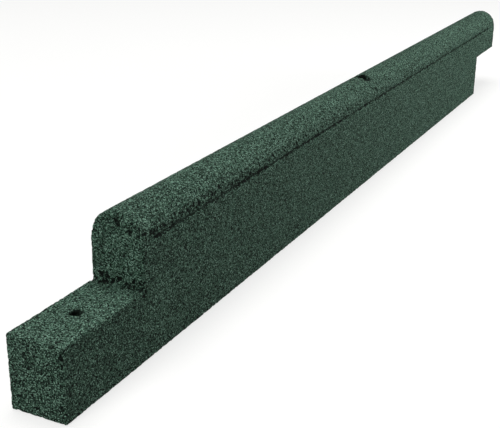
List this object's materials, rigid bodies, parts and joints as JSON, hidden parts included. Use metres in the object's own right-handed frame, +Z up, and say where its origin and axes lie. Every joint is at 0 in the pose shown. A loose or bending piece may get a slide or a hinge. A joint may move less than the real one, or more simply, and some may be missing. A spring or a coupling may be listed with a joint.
{
  "type": "rubber lawn edging",
  "caption": "Straight lawn edging bar of bound rubber granulate with a half-round top, half-lap ends with peg holes, and a counterbored hole for a ground spike.",
  "frame": {"origin": "middle of the bar's footprint, on the ground it rests on", "axes": "+X along the bar from the tongue end to the overhang end, +Y across its width, +Z up to the round crown"},
  "size_m": [1, 0.04, 0.1],
  "materials": {
    "rubber_granulate": "matt pressed granulate, dark green"
  },
  "bodies": {
    "root": {"edging_bar": "rubber_granulate"}
  },
  "joints": []
}
